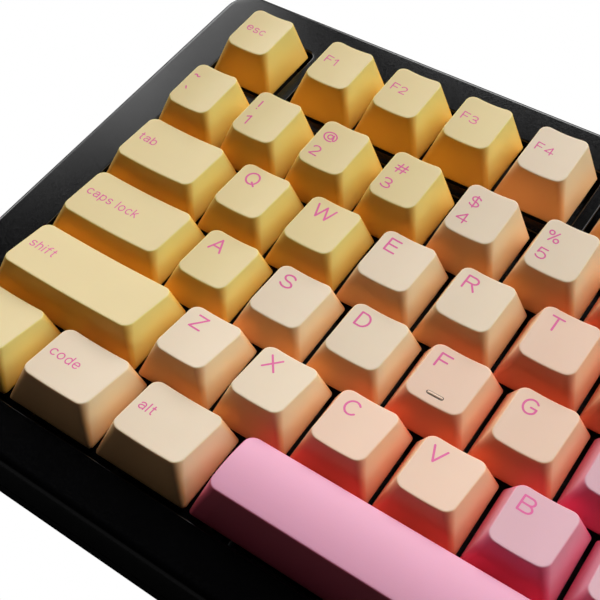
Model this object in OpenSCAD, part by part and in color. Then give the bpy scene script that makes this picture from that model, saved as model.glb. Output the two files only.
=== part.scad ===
// Mechanical keyboard, exploded 75 % layout, with a rotary knob at the back right.
// World frame: +X right, +Y back, +Z up, millimetres. Origin on the desk under the
// middle of the case. Everything on the switch plate is drawn in a tilted frame:
// x from the left edge of the key block, y towards the back from the middle of the
// number row, z square to the plate from the lower edge of the keycaps.

/* [Case] */
// Width of the case
case_w = 335; // [333:0.5:340]
// Depth of the case
case_d = 142.4; // [142:0.2:146]
// Height of the front edge above the desk
front_h = 20; // [20:0.5:26]
// Tilt of the keys towards the typist, in degrees
tilt = 6; // [5.5:0.1:6.5]
// Radius of the case corners seen from above
case_corner_r = 7; // [5:0.5:10]
// Bevel around the top of the case
case_bevel = 1.5; // [0.8:0.1:1.8]
// Thickness of the side walls
wall = 4; // [3.5:0.1:4.2]
// Height of the joint line between the two halves of the case
seam_h = 8; // [7:0.5:9]
// Thickness of the case floor
floor_t = 2.5; // [2.3:0.1:2.8]
// Chamfer around the underside
foot_chamfer = 3; // [2:0.5:4]
// Gap between a key's cell and the case around it
key_gap = 0.75; // [0.6:0.05:0.9]
// Corner radius of the key openings
opening_r = 2.2; // [1:0.1:3]

/* [Keys] */
// Distance between neighbouring keys
unit = 19.05; // [19.05]
// Gap between two keycaps, at their lower edges
cap_gap = 0.85; // [0.7:0.05:1]
// Inset of the sides at the top front corners of the tallest keycaps
cap_inset = 3.25; // [3:0.05:3.4]
// Front edge of the keycap top, from the middle of the key
cap_front_y = -5.25; // [-5.6:0.05:-5]
// Back edge of the keycap top, from the middle of the key
cap_back_y = 9; // [8.6:0.05:9]
// Thickness of the keycap walls
cap_wall = 1.4; // [1.2:0.1:1.5]
// Depth of the hollow in a keycap top
dish = 0.65; // [0.4:0.05:0.8]
// Height of the crown of the space bar
crown_h = 0.9; // [0.6:0.1:1.2]
// Key travel
travel = 4; // [4]

/* [Electronics] */
// Height of the keycap's lower edge above the switch plate
cap_rise = 6.5; // [6.4:0.1:6.8]
// Thickness of the switch plate
plate_t = 1.5; // [1.5]
// Distance from the top of the plate down to the circuit board
board_drop = 5; // [5]
// Thickness of the circuit board
board_t = 1.6; // [1.6]
// Middle of the cable socket, from the left edge of the key block
socket_x = 47.6; // [40:1:60]

/* [Knob] */
// Diameter of the knob
knob_d = 18; // [16:0.5:20]
// Height of the knob
knob_h = 12.5; // [11:0.5:14]

/* [Feet] */
// Height of the feet below the case
foot_h = 1.5; // [1.5:0.1:2]
// Length of a foot
foot_l = 42; // [30:1:50]
// Width of a foot
foot_w = 8; // [6:0.5:9]

/* [Hidden] */
$fn = 48;

LEMON = "#decc9b";
CREAM = "#e1d0b6";
PEACH = "#e6c6af";
PINK = "#dcacb4";
ORCHID = "#e8a5c3";
BLACK = "#2b2b2d";

eps = 0.01;
big = 400;
// Rows from the back: function, number, upper, home, lower, bottom
F = 0; N = 1; Q = 2; A = 3; Z = 4; B = 5;
row_y = [for (r = [1.25, 0, -1, -2, -3, -4]) r * unit];
front_edge_h = [9.6, 9.6, 7.9, 7, 8.75, 8.75];
back_edge_h = [9.8, 9.8, 7, 5.6, 5.8, 5.8];
// Inset of each side of a keycap where its top edge lies h above the lower edge
function side_inset(h) = cap_inset - 0.15 * (9.8 - h);
// Each run of keys: row, left end in units, widths in units
RUNS = [
    [F, 0, [1]], [F, 1.25, [1, 1, 1, 1]], [F, 5.5, [1, 1, 1, 1]], [F, 9.75, [1, 1, 1, 1]],
    [F, 14, [1]],
    [N, 0, [1, 1, 1, 1, 1, 1, 1, 1, 1, 1, 1, 1, 1, 2]], [N, 15.25, [1]],
    [Q, 0, [1.5, 1, 1, 1, 1, 1, 1, 1, 1, 1, 1, 1, 1, 1.5]], [Q, 15.25, [1]],
    [A, 0, [1.75, 1, 1, 1, 1, 1, 1, 1, 1, 1, 1, 1, 2.25]], [A, 15.25, [1]],
    [Z, 0, [2.25, 1, 1, 1, 1, 1, 1, 1, 1, 1, 1, 1.75]], [Z, 14.25, [1, 1]],
    [B, 0, [1.25, 1.25, 1.25, 6.25, 1, 1, 1]], [B, 13.25, [1, 1, 1]]];
function sum(v, n) = n == 0 ? 0 : v[n - 1] + sum(v, n - 1);
function run_keys(r) =
    [for (i = [0:len(r[2]) - 1]) [r[0], r[1] + sum(r[2], i), r[2][i]]];
KEYS = [for (r = RUNS) for (k = run_keys(r)) k];
// Half the distance between a wide key's two stabilizers, 0 on a key without any
function stab_x(w) = w > 6 ? 50 : w >= 2 ? 11.938 : 0;

block_w = 16.25 * unit;
margin_front = 97.2;
rim_z = 0.6;
origin_y = -case_d / 2 + margin_front * cos(tilt) + rim_z * sin(tilt);
origin_z = front_h + margin_front * sin(tilt) - rim_z * cos(tilt);
plate_z = -cap_rise;
board_z = plate_z - board_drop;
// z in the tilted frame of a point that lies z_world above the desk, at y
function tilted_z(y, z_world) = (z_world - origin_z - y * sin(tilt)) / cos(tilt);

module tilted() translate([-block_w / 2, origin_y, origin_z]) rotate([tilt, 0, 0]) children();
module at_key(k) translate([(k[1] + k[2] / 2) * unit, row_y[k[0]], 0]) children();

// Upright block on a rectangle with rounded corners, centred on the z axis
module rounded_block(w, d, r, h) linear_extrude(h) {
    square([w - 2 * r, d], center = true);
    square([w, d - 2 * r], center = true);
    for (x = [-1, 1], y = [-1, 1])
        translate([x * (w / 2 - r), y * (d / 2 - r)]) circle(r);
}
// The same block, c high, with its sides drawn in by c at the top
module bevel_layer(w, d, r, c) {
    module prism(a, b) translate([0, b / 2, 0]) rotate([90, 0, 0]) linear_extrude(b)
        polygon([[-a / 2, 0], [a / 2, 0], [a / 2 - c, c], [c - a / 2, c]]);
    prism(w, d - 2 * r);
    rotate([0, 0, 90]) prism(d, w - 2 * r);
    for (x = [-1, 1], y = [-1, 1])
        translate([x * (w / 2 - r), y * (d / 2 - r), 0]) cylinder(h = c, r1 = r, r2 = r - c);
}

// ---- case ----
screw_y = [-89.2, 36.4];
screw_side_x = 4.2;
screw_r = 1.5;
head_r = 2.75;
head_h = 3;
hex_r = 1.25;
hex_depth = 1.6;
post_r = 2.4;
screw_grip = 5;
screw_places = [
    for (x = [-screw_side_x, 100, 209.6, block_w + screw_side_x], y = screw_y) [x, y],
    for (x = [-screw_side_x, block_w + screw_side_x]) [x, -28]];
// z in the tilted frame of the seat under the screw head at y
function seat_z(y) = tilted_z(y, foot_h) + head_h + 0.5;
// Plug recess in the back wall
recess = [13, 7.4];
recess_z = board_z + 1.6;
recess_y = 40.7;
// Play around a screw's shank, a screw's head, a foot and a shaft
screw_play = 0.2;
head_play = 0.25;
foot_play = 0.25;
shaft_play = 0.05;

module key_opening(x0, x1, row0, row1) {
    w = (x1 - x0) * unit + 2 * key_gap;
    d = row_y[row0] - row_y[row1] + unit + 2 * key_gap;
    translate([(x0 + x1) / 2 * unit, (row_y[row0] + row_y[row1]) / 2, plate_z - 1])
        rounded_block(w, d, opening_r, 20);
}
module key_openings() {
    for (x = [[0, 1], [1.25, 5.25], [5.5, 9.5], [9.75, 13.75], [14, 15]])
        key_opening(x[0], x[1], F, F);
    key_opening(0, 15, N, A);
    key_opening(0, 16.25, Z, Z);
    key_opening(0, 13, Z, B);
    key_opening(13.25, 16.25, Z, B);
    key_opening(15.25, 16.25, N, B);
}
encoder_x = 15.75 * unit;
encoder_w = 12;
encoder_hole = encoder_w + 1;
bushing_r = 3.5;
shaft_r = 3;
module at_encoder() translate([encoder_x, row_y[F], 0]) children();

module case_top_outline() intersection() {
    translate([0, 0, seam_h]) rounded_block(case_w, case_d, case_corner_r, 60);
    tilted() translate([block_w / 2, -origin_y / cos(tilt), 0]) {
        w = case_w + 0.6;
        d = case_d / cos(tilt) + 0.6;
        c = case_bevel + 0.3;
        translate([0, 0, rim_z - c]) bevel_layer(w, d, case_corner_r + 0.3, c);
        translate([0, 0, rim_z - c - 60]) rounded_block(w + 10, d + 10, case_corner_r, 60);
    }
}
module top_case() color(BLACK) difference() {
    case_top_outline();
    intersection() {
        rounded_block(case_w - 2 * wall, case_d - 2 * wall, case_corner_r - wall, 60);
        tilted() translate([-50, -150, plate_z - 80]) cube([big, big, 80]);
    }
    tilted() {
        key_openings();
        for (p = screw_places)
            translate([p[0], p[1], plate_z - 1])
                cylinder(h = screw_grip + 1.5, r = screw_r + shaft_play);
        translate([socket_x, recess_y, recess_z]) rotate([-90, 0, 0]) plug_slot(recess, 8);
        at_encoder() {
            translate([0, 0, plate_z]) cube([encoder_hole, encoder_hole, 4], center = true);
            translate([0, 0, plate_z]) cylinder(h = 10, r = bushing_r + 0.3);
        }
    }
}
module plug_slot(size, l) linear_extrude(l) {
    square([size[0] - size[1], size[1]], center = true);
    for (x = [-1, 1]) translate([x * (size[0] - size[1]) / 2, 0]) circle(size[1] / 2);
}
module bottom_case() color(BLACK) difference() {
    union() {
        difference() {
            union() {
                translate([0, 0, foot_h + foot_chamfer]) mirror([0, 0, 1])
                    bevel_layer(case_w, case_d, case_corner_r, foot_chamfer);
                translate([0, 0, foot_h + foot_chamfer])
                    rounded_block(case_w, case_d, case_corner_r, seam_h - foot_h - foot_chamfer);
            }
            translate([0, 0, foot_h + floor_t])
                rounded_block(case_w - 2 * wall, case_d - 2 * wall, case_corner_r - wall, 60);
        }
        intersection() {
            tilted() for (p = screw_places)
                translate([p[0], p[1], tilted_z(p[1], foot_h)])
                    cylinder(h = plate_z - plate_t - tilted_z(p[1], foot_h), r = post_r);
            translate([-big / 2, -big / 2, foot_h + floor_t / 2]) cube([big, big, 60]);
        }
        for (p = screw_places) intersection() {
            tilted() translate([p[0], p[1], tilted_z(p[1], 0)]) cylinder(h = 9, r = head_r + 1.6);
            translate([-big / 2, -big / 2, foot_h + floor_t / 2]) cube([big, big, 3.2]);
        }
    }
    tilted() for (p = screw_places) translate([p[0], p[1], 0]) {
        translate([0, 0, seat_z(p[1]) - 10]) cylinder(h = 10, r = head_r + head_play);
        translate([0, 0, seat_z(p[1]) - 1]) cylinder(h = 60, r = screw_r + screw_play);
    }
    for (p = foot_places) translate([p[0], p[1], 0]) foot(foot_play, foot_h + foot_inset + 0.05);
}
module case_screws() color("#8c8c90") tilted() for (p = screw_places)
    translate([p[0], p[1], seat_z(p[1])]) difference() {
        union() {
            translate([0, 0, -head_h]) cylinder(h = head_h, r = head_r);
            translate([0, 0, -eps]) cylinder(h = plate_z + screw_grip - seat_z(p[1]), r = screw_r);
        }
        translate([0, 0, -head_h - eps]) cylinder(h = hex_depth, r = hex_r, $fn = 6);
    }
foot_places = [for (x = [-1, 1], y = [-60, 58]) [x * 120, y]];
// How far a foot is let into the floor of the case
foot_inset = 0.75;
module foot(grow, h) linear_extrude(h) {
    square([foot_l - foot_w, foot_w + 2 * grow], center = true);
    for (x = [-1, 1]) translate([x * (foot_l - foot_w) / 2, 0]) circle(foot_w / 2 + grow);
}
module rubber_feet() color("#1c1c1c") for (p = foot_places)
    translate([p[0], p[1], 0]) foot(0, foot_h + foot_inset);

// ---- plate and board ----
plate_margin = [7.4, 93.6, 40.6];
stab_slot = [7.2, 12.6];
hole = 14;
// Thickness of a keycap top before it is hollowed
cap_top_t = 2;
cap_post_r = 2.75;
module switch_plate() color("#9a9ba0") tilted() difference() {
    translate([-plate_margin[0], -plate_margin[1], plate_z - plate_t])
        cube([block_w + 2 * plate_margin[0], plate_margin[1] + plate_margin[2], plate_t]);
    for (k = KEYS) at_key(k) {
        translate([0, 0, plate_z]) cube([hole, hole, 2 * plate_t + 1], center = true);
        if (stab_x(k[2]) > 0) for (s = [-1, 1]) {
            translate([s * stab_x(k[2]), -1, plate_z])
                cube([stab_slot[0], stab_slot[1], 2 * plate_t + 1], center = true);
            translate([s * stab_x(k[2]), -6, plate_z])
                cube([arm_slot, 5.4, 2 * plate_t + 1], center = true);
        }
    }
    for (p = screw_places) translate([p[0], p[1], plate_z - 3]) cylinder(h = 6, r = screw_r + 0.3);
    at_encoder() translate([0, 0, plate_z]) cube([encoder_hole, encoder_hole, 6], center = true);
}
board_edge = [0.5, 85.9, 33.6];
pin_r = 1.95;
module circuit_board() color("#1f3324") tilted() difference() {
    union() {
        translate([board_edge[0], -board_edge[1], board_z - board_t])
            cube([block_w - 2 * board_edge[0], board_edge[1] + board_edge[2], board_t]);
        translate([socket_x - 9, 20, board_z - board_t]) cube([18, 19, board_t]);
    }
    for (k = KEYS) at_key(k) translate([0, 0, board_z - 3]) cylinder(h = 6, r = pin_r + 0.1);
}
led = [3.5, 2.8, 1.2];
led_y = -4.9;
module switch_leds() color("#f3efe0") tilted() for (k = KEYS) at_key(k)
    translate([-led[0] / 2, led_y - led[1] / 2, board_z]) cube(led);
module cable_socket() color("#b9bbc0") tilted()
    translate([socket_x, recess_y - 7.4, recess_z]) rotate([-90, 0, 0]) difference() {
        plug_slot([9, 3.2], 7.3);
        translate([0, 0, 1]) difference() {
            plug_slot([8.4, 2.6], 7);
            translate([-3.3, -0.35, -1]) cube([6.6, 0.7, 6.4]);
        }
    }

// ---- switches, drawn with z = 0 on the top of the plate ----
module on_plate(k) at_key(k) translate([0, 0, plate_z]) children();
flange = 15.6;
switch_shoulder = 3;
switch_waist = 4.2;
switch_top = 6.2;
cross_top = 10.2;
flange_h = 1;
slider = [7, 5.4];
chamber = [7.7, 6.1];
chamber_z = -3.2;
pin_l = 3.2;
guide_r = 1.2;
spring_r = 2.2;
spring_z = -4.5;
spring_h = 4.8;
// Block of size s whose middle is at y in plan, standing at height z
module block(s, z, y = 0) translate([-s[0] / 2, y - s[1] / 2, z]) cube(s);
module switch_housing() difference() {
    union() {
        block([hole - 0.1, hole - 0.1, board_drop], -board_drop + eps);
        block([flange, flange, flange_h], 0);
        block([13.4, 12.8, switch_shoulder - flange_h], flange_h);
        block([11.8, 11.3, switch_waist - switch_shoulder], switch_shoulder);
        block([9.8, 9, switch_top - switch_waist], switch_waist, 0.1);
        translate([0, 0, -board_drop - pin_l]) cylinder(h = pin_l + 1, r = pin_r);
    }
    block([chamber[0], chamber[1], 12], chamber_z);
    translate([0, 0, spring_z - 0.1]) cylinder(h = 3, r = spring_r + 0.3);
    translate([0, 0, -7.4]) cylinder(h = 4, r = guide_r + 0.35);
    block([led[0] + 0.8, 4.6, 3], -board_drop - 1, led_y - 0.8);
}
module switch_housings() color("#d8d4cc") tilted() for (k = KEYS) on_plate(k) switch_housing();
module switch_springs() color("#c9a24a") tilted() for (k = KEYS) on_plate(k)
    translate([0, 0, spring_z]) difference() {
        cylinder(h = spring_h, r = spring_r);
        translate([0, 0, -1]) cylinder(h = 8, r = spring_r - 0.4);
    }
module cross(grow, h) {
    translate([-2 - grow, -0.65 - grow, 0]) cube([4 + 2 * grow, 1.3 + 2 * grow, h]);
    translate([-0.55 - grow, -2 - grow, 0]) cube([1.1 + 2 * grow, 4 + 2 * grow, h]);
}
module switch_slider() {
    difference() {
        block([slider[0], slider[1], 5.2], 1.2);
        translate([0, 0, 1]) cylinder(h = 3.6, r = spring_r + 0.2);
    }
    translate([0, 0, -1.5]) cylinder(h = 6.5, r = guide_r);
    translate([0, 0, 6]) cross(0, cross_top - 6);
}

// ---- stabilizers ----
wire_r = 0.8;
wire_y = -8.7;
wire_z = 0.9;
arm = 6.7;
swing = 2 * asin(travel / 2 / arm);
arm_slot = 2.6;
module stabilizer_housing() {
    difference() {
        block([7, 11.6, 7.4], -4.4, -0.6);
        block([6.2, 6, 10], -3.9);
        block([arm_slot, 6, 10], -2.6, -5);
    }
    for (s = [-1, 1]) difference() {
        translate([s * 2.6, 0, 0]) block([1.6, 3.8, 2.1], 0.05, -8.1);
        translate([s * 2.6 - 2, wire_y, wire_z]) rotate([0, 90, 0])
            cylinder(h = 4, r = wire_r + 0.3);
    }
}
module stabilizer_housings() color("#2a2a2e") tilted()
    for (k = KEYS) if (stab_x(k[2]) > 0) on_plate(k) for (s = [-1, 1])
        translate([s * stab_x(k[2]), 0, 0]) stabilizer_housing();
module stabilizer_stem() {
    difference() {
        block([5.5, 4.6, 5.8], 0.6);
        block([arm_slot, 3.8, 4.2], 0, -0.5);
    }
    translate([0, 0, 6]) cross(0, cross_top - 6);
}
module wire(k) color("#c4c6cb") tilted() on_plate(k) translate([0, wire_y, wire_z]) {
    x = stab_x(k[2]);
    translate([-x - 3.4, 0, 0]) rotate([0, 90, 0]) cylinder(h = 2 * x + 6.8, r = wire_r);
    for (s = [-1, 1]) translate([s * x, 0, 0])
        rotate([swing / 2 - 90, 0, 0]) cylinder(h = arm, r = wire_r);
}
module wire_space() wire([B, 3.75, 6.25]);
module wire_shift() wire([Z, 0, 2.25]);
module wire_enter() wire([A, 12.75, 2.25]);
module wire_backspace() wire([N, 13, 2]);

// ---- keys ----
// Solid between a rectangle at the lower edge, at z0, and a sloping top. lift raises
// the top, and thick moves every wall inwards.
module cap_body(row, w, z0, lift, thick) {
    half_w = w * unit / 2 - cap_gap / 2 - thick;
    half_d = unit / 2 - cap_gap / 2 - thick;
    y = [cap_front_y + 0.9 * thick, cap_back_y - thick];
    z = [for (v = y) top_z(row, v) + lift];
    x = [for (h = [front_edge_h[row], back_edge_h[row]]) half_w - side_inset(h)];
    polyhedron(
        points = [[-half_w, -half_d, z0], [half_w, -half_d, z0],
            [half_w, half_d, z0], [-half_w, half_d, z0],
            [-x[0], y[0], z[0]], [x[0], y[0], z[0]], [x[1], y[1], z[1]], [-x[1], y[1], z[1]]],
        faces = [[0, 1, 2, 3], [7, 6, 5, 4], [0, 4, 5], [0, 5, 1], [1, 5, 6], [1, 6, 2],
            [2, 6, 7], [2, 7, 3], [3, 7, 4], [3, 4, 0]]);
}
// Height of the flat top above the lower edge, at y from the middle of the key
function top_z(row, y) = front_edge_h[row]
    + (back_edge_h[row] - front_edge_h[row]) * (y - cap_front_y) / (cap_back_y - cap_front_y);
function top_slope(row) =
    atan((back_edge_h[row] - front_edge_h[row]) / (cap_back_y - cap_front_y));
// Cylinder that hollows a keycap top from side to side. It is a little wider than the
// top, so it takes off the whole of the flat.
module dish_cut(row, w) {
    half = w * unit / 2 - cap_gap / 2 - side_inset(back_edge_h[row]) + 0.3;
    r = (half * half + dish * dish) / (2 * dish);
    translate([0, 0, top_z(row, 0)]) rotate([top_slope(row), 0, 0])
        translate([0, 20, r - dish]) rotate([90, 0, 0]) cylinder(h = 40, r = r, $fn = 200);
}
// Cylinder under whose crown the top of the space bar is rounded from front to back
module crown(row, w) {
    half = (cap_back_y - cap_front_y) / 2;
    r = (half * half + crown_h * crown_h) / (2 * crown_h);
    y = (cap_back_y + cap_front_y) / 2;
    translate([0, y, top_z(row, y)]) rotate([top_slope(row), 0, 0])
        translate([-w * unit / 2, 0, crown_h - r]) rotate([0, 90, 0])
            cylinder(h = w * unit, r = r, $fn = 200);
}
module cap_posts(row, w) {
    ceiling = top_z(row, 0) - 1.3;
    for (x = w >= 2 ? [-stab_x(w), 0, stab_x(w)] : [0]) translate([x, 0, 0.3]) difference() {
        cylinder(h = ceiling - 0.3, r = cap_post_r);
        translate([0, 0, -1]) cross(0.04, cross_top - cap_rise + 0.8);
    }
}
module keycap(row, w) {
    difference() {
        if (w > 6) intersection() {
            cap_body(row, w, 0, crown_h + 0.4, 0);
            crown(row, w);
        }
        else cap_body(row, w, 0, 0, 0);
        cap_body(row, w, -1, -cap_top_t, cap_wall);
        if (w < 6) dish_cut(row, w);
    }
    cap_posts(row, w);
}
// One key: its cap, its slider and, on a wide key, two stabilizer stems
module key(k) tilted() {
    at_key(k) keycap(k[0], k[2]);
    on_plate(k) {
        switch_slider();
        if (stab_x(k[2]) > 0) for (s = [-1, 1])
            translate([s * stab_x(k[2]), 0, 0]) stabilizer_stem();
    }
}
module keys(row, x, widths) for (k = run_keys([row, x, widths])) key(k);

module key_esc() color(LEMON) key([F, 0, 1]);
module key_f1() color(LEMON) key([F, 1.25, 1]);
module key_f2() color(LEMON) key([F, 2.25, 1]);
module key_f3() color(LEMON) key([F, 3.25, 1]);
module key_f4() color(CREAM) key([F, 4.25, 1]);
module key_grave() color(LEMON) key([N, 0, 1]);
module key_1() color(LEMON) key([N, 1, 1]);
module key_2() color(LEMON) key([N, 2, 1]);
module key_3() color(LEMON) key([N, 3, 1]);
module key_4() color(CREAM) key([N, 4, 1]);
module key_5() color(CREAM) key([N, 5, 1]);
module key_backspace() color(ORCHID) key([N, 13, 2]);
module key_tab() color(LEMON) key([Q, 0, 1.5]);
module key_q() color(LEMON) key([Q, 1.5, 1]);
module key_w() color(LEMON) key([Q, 2.5, 1]);
module key_e() color(CREAM) key([Q, 3.5, 1]);
module key_r() color(CREAM) key([Q, 4.5, 1]);
module key_t() color(PEACH) key([Q, 5.5, 1]);
module key_caps_lock() color(LEMON) key([A, 0, 1.75]);
module key_a() color(LEMON) key([A, 1.75, 1]);
module key_s() color(CREAM) key([A, 2.75, 1]);
module key_d() color(CREAM) key([A, 3.75, 1]);
module key_f() color(PEACH) key([A, 4.75, 1]);
module key_g() color(PEACH) key([A, 5.75, 1]);
module key_enter() color(ORCHID) key([A, 12.75, 2.25]);
module key_left_shift() color(LEMON) key([Z, 0, 2.25]);
module key_z() color(CREAM) key([Z, 2.25, 1]);
module key_x() color(CREAM) key([Z, 3.25, 1]);
module key_c() color(PEACH) key([Z, 4.25, 1]);
module key_v() color(PEACH) key([Z, 5.25, 1]);
module key_b() color(PINK) key([Z, 6.25, 1]);
module key_left_ctrl() color(LEMON) key([B, 0, 1.25]);
module key_code() color(CREAM) key([B, 1.25, 1.25]);
module key_left_alt() color(CREAM) key([B, 2.5, 1.25]);
module key_space() color(ORCHID) key([B, 3.75, 6.25]);
module keys_function_right() color(PINK) {
    keys(F, 5.5, [1, 1, 1, 1]);
    keys(F, 9.75, [1, 1, 1, 1]);
    keys(F, 14, [1]);
}
module keys_number_right() color(PINK) keys(N, 6, [1, 1, 1, 1, 1, 1, 1]);
module keys_upper_right() color(PINK) keys(Q, 6.5, [1, 1, 1, 1, 1, 1, 1, 1.5]);
module keys_home_right() color(PINK) keys(A, 6.75, [1, 1, 1, 1, 1, 1]);
module keys_lower_right() color(PINK) keys(Z, 7.25, [1, 1, 1, 1, 1, 1.75]);
module keys_arrows() color(ORCHID) {
    keys(B, 10, [1, 1, 1]);
    keys(B, 13.25, [1, 1, 1]);
    keys(Z, 14.25, [1]);
}
module keys_navigation() color(ORCHID) for (row = [N, Q, A, Z]) key([row, 15.25, 1]);

// ---- knob ----
encoder_top = plate_z + 1.5;
shaft_flat_y = shaft_r - 1.5;
knob_wall = 1.6;
knob_chamfer = 1;
// Gap between the knob and the case
knob_lift = 0.7;
module encoder_body() color("#77797d") tilted() at_encoder() {
    difference() {
        translate([-encoder_w / 2, -encoder_w / 2, board_z])
            cube([encoder_w, encoder_w, encoder_top - board_z]);
        translate([0, 0, encoder_top - 3]) cylinder(h = 6, r = shaft_r + shaft_play);
    }
    translate([0, 0, encoder_top - eps]) difference() {
        cylinder(h = rim_z - encoder_top, r = bushing_r);
        translate([0, 0, -1]) cylinder(h = 10, r = shaft_r + shaft_play);
    }
}
module encoder_shaft() color("#a5a7ab") tilted() at_encoder() difference() {
    translate([0, 0, encoder_top - 2.5]) cylinder(h = knob_h + 4, r = shaft_r);
    translate([-5, shaft_flat_y, 4]) cube([10, 5, 20]);
}
module knob() color("#3a3a3d") tilted() at_encoder()
    translate([0, 0, rim_z + knob_lift]) difference() {
        union() {
            cylinder(h = knob_h - knob_chamfer, r = knob_d / 2);
            translate([0, 0, knob_h - knob_chamfer])
                cylinder(h = knob_chamfer, r1 = knob_d / 2, r2 = knob_d / 2 - knob_chamfer);
        }
        translate([0, 0, -1]) cylinder(h = knob_h - 1.5, r = shaft_r + shaft_play);
        translate([0, 0, -1]) cylinder(h = 2.5, r = knob_d / 2 - knob_wall);
    }

top_case();
bottom_case();
switch_plate();
circuit_board();
switch_housings();
switch_springs();
switch_leds();
stabilizer_housings();
wire_space();
wire_shift();
wire_enter();
wire_backspace();
cable_socket();
case_screws();
rubber_feet();
encoder_body();
encoder_shaft();
knob();
key_esc();
key_f1();
key_f2();
key_f3();
key_f4();
key_grave();
key_1();
key_2();
key_3();
key_4();
key_5();
key_backspace();
key_tab();
key_q();
key_w();
key_e();
key_r();
key_t();
key_caps_lock();
key_a();
key_s();
key_d();
key_f();
key_g();
key_enter();
key_left_shift();
key_z();
key_x();
key_c();
key_v();
key_b();
key_left_ctrl();
key_code();
key_left_alt();
key_space();
keys_function_right();
keys_number_right();
keys_upper_right();
keys_home_right();
keys_lower_right();
keys_arrows();
keys_navigation();
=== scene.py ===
"""Mechanical keyboard with dyed keycaps in warm pastel colours and a black metal case.

Lengths in the tables are millimetres. The plate frame is the CAD's tilted frame: x from
the left edge of the key block, y towards the back from the middle of the number row,
z square to the switch plate from the lower edges of the keycaps."""

import math

import bmesh
import bpy
import numpy as np
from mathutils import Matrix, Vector
from mathutils.geometry import delaunay_2d_cdt

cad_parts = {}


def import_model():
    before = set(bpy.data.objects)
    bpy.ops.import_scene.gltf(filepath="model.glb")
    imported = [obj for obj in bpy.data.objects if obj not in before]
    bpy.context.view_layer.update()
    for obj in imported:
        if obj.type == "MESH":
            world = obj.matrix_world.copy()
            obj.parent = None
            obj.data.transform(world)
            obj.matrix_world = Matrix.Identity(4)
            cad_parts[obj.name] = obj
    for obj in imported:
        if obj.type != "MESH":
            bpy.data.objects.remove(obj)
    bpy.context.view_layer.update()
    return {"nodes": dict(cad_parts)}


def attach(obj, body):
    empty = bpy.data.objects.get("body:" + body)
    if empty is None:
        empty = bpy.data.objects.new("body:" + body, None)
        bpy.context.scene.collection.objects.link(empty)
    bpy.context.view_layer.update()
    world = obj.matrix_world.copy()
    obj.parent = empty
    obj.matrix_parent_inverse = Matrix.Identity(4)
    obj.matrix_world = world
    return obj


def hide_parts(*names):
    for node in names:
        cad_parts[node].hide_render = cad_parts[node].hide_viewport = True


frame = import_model()

MM = 0.001
TILT = math.radians(6)
UNIT = 19.05
# Heights of the case's rim and of the switch plate in the plate frame
RIM_Z, PLATE_Z = 0.6, -6.5
# Case: width, depth, height of the front rim, and from that rim to the number row's middle
CASE_W, CASE_D, FRONT_H, MARGIN_FRONT = 335.0, 142.4, 20.0, 97.2
ORIGIN = np.array([
    -16.25 * UNIT / 2,
    -CASE_D / 2 + MARGIN_FRONT * math.cos(TILT) + RIM_Z * math.sin(TILT),
    FRONT_H + MARGIN_FRONT * math.sin(TILT) - RIM_Z * math.cos(TILT),
])
TURN = np.array([[1, 0, 0],
                 [0, math.cos(TILT), -math.sin(TILT)],
                 [0, math.sin(TILT), math.cos(TILT)]])
# Rows from the back: function, number, upper, home, lower, bottom
F, N, Q, A, Z, B = range(6)
ROW_Y = [r * UNIT for r in (1.25, 0, -1, -2, -3, -4)]
# For each row, the height of a keycap's top at its front edge and at its back edge
FRONT_EDGE = [9.6, 9.6, 7.9, 7.0, 8.75, 8.75]
BACK_EDGE = [9.8, 9.8, 7.0, 5.6, 5.8, 5.8]
# Where those edges lie, from the middle of the cell
CAP_FRONT_Y, CAP_BACK_Y = -5.25, 9.0
# Between two keycaps, and how thick their walls and tops are
CAP_GAP, CAP_WALL, CAP_TOP = 0.85, 1.4, 1.5
# How deep the tops are scooped, and how high the space bar is rounded
DISH, CROWN = 0.65, 0.9
KNOB_X = 15.75 * UNIT
LEMON, CREAM, PEACH, PINK, ORCHID = range(5)


def world(points):
    """Points of the plate frame, in millimetres, as points of the row frame, in metres."""
    p = np.atleast_2d(np.asarray(points, float))
    return (p @ TURN.T + ORIGIN) * MM


# ---- layout
def run(row, start, *keys):
    """Keys side by side from start in units: each is (node without its first word, legend,
    colour) and, where it isn't one unit, its width. Out come tuples of (node, row, left
    end, width, legend, colour)."""
    out, x = [], start
    for name, legend, tint, *wide in keys:
        width = wide[0] if wide else 1
        out.append(("key_" + name, row, x, width, legend, tint))
        x += width
    return out


def group(name, row, start, legends, tints, last=1.0):
    """Keys of one node, of one unit each except the last."""
    out = []
    for i, (legend, tint) in enumerate(zip(legends, tints)):
        width = last if i == len(legends) - 1 else 1.0
        out.append(("keys_" + name, row, start + i, width, legend, tint))
    return out


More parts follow.
